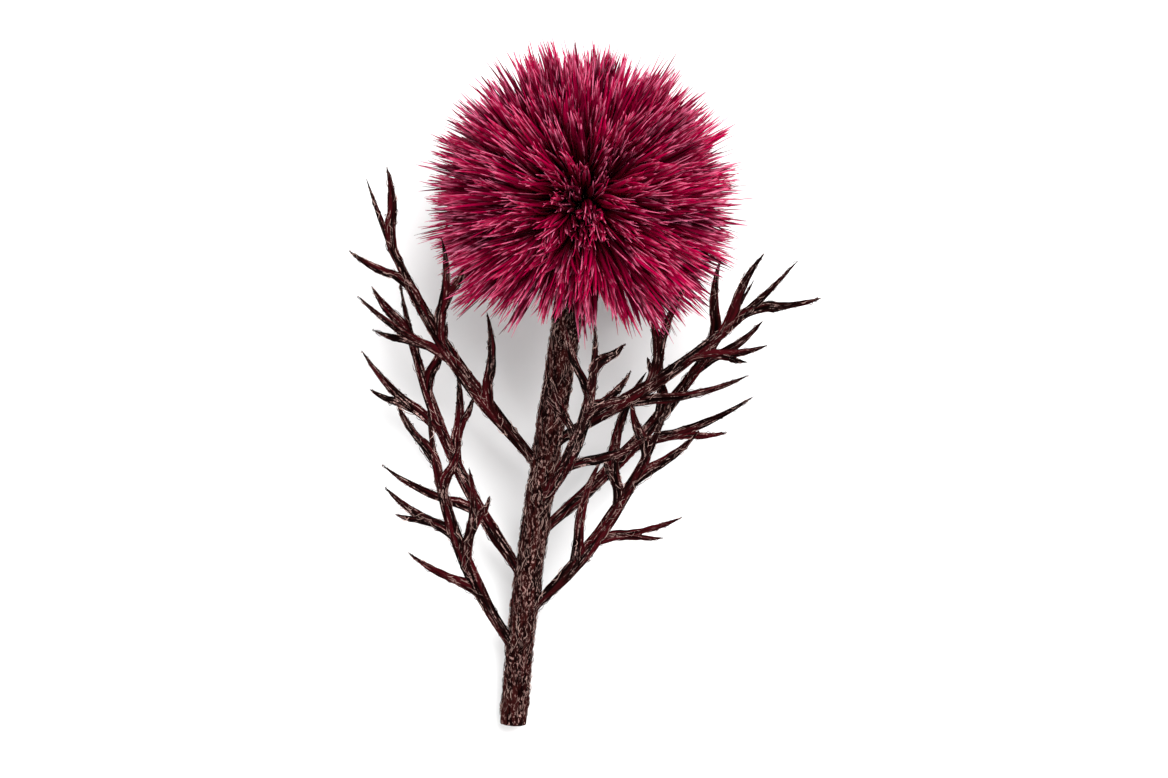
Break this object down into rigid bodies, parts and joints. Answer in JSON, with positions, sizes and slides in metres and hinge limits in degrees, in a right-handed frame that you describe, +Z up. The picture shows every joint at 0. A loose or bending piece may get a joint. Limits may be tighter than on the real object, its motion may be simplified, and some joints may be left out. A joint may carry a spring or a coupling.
{
  "type": "dried thistle flower head",
  "caption": "Dried crimson globe thistle: a round head of needle-like florets on a cut stem with forked spiny leaves, lying on its side.",
  "frame": {"origin": "on the surface that the flower lies on, under the middle of its bounding box", "axes": "+Y from the cut end of the stem towards the head, +Z up from the surface"},
  "size_m": [0.0892, 0.1312, 0.0573],
  "materials": {
    "stem": "matt, ribbed lengthwise and covered in short grey-pink wool",
    "florets": "dyed crimson, dry, with a faint silky sheen and paler edges and tips",
    "leaves": "matt, dry and wrinkled lengthwise, paler and woolly below",
    "neck_bracts": "matt and dry, drawn out to a dark spine"
  },
  "bodies": {
    "root": {"stem": "stem", "floret_tuft_01": "florets", "floret_tuft_02": "florets", "floret_tuft_03": "florets", "floret_tuft_04": "florets", "floret_tuft_05": "florets", "floret_tuft_06": "florets", "floret_tuft_07": "florets", "floret_tuft_08": "florets", "floret_tuft_09": "florets", "floret_tuft_10": "florets", "floret_tuft_11": "florets", "floret_tuft_12": "florets", "floret_tuft_13": "florets", "floret_tuft_14": "florets", "floret_tuft_15": "florets", "floret_tuft_16": "florets", "floret_tuft_17": "florets", "floret_tuft_18": "florets", "floret_tuft_19": "florets", "floret_tuft_20": "florets", "floret_tuft_21": "florets", "floret_tuft_22": "florets", "floret_tuft_23": "florets", "floret_tuft_24": "florets", "floret_tuft_25": "florets", "floret_tuft_26": "florets", "floret_tuft_27": "florets", "floret_tuft_28": "florets", "floret_tuft_29": "florets", "floret_tuft_30": "florets", "floret_tuft_31": "florets", "floret_tuft_32": "florets", "floret_tuft_33": "florets", "floret_tuft_34": "florets", "floret_tuft_35": "florets", "floret_tuft_36": "florets", "floret_tuft_37": "florets", "floret_tuft_38": "florets", "floret_tuft_39": "florets", "floret_tuft_40": "florets", "floret_tuft_41": "florets", "floret_tuft_42": "florets", "leaf_1": "leaves", "leaf_2": "leaves", "leaf_3": "leaves", "leaf_4": "leaves", "leaf_5": "leaves", "leaf_6": "leaves", "leaf_7": "leaves", "neck_bract_1": "neck_bracts", "neck_bract_2": "neck_bracts", "neck_bract_3": "neck_bracts", "neck_bract_4": "neck_bracts", "neck_bract_5": "neck_bracts"}
  },
  "joints": []
}
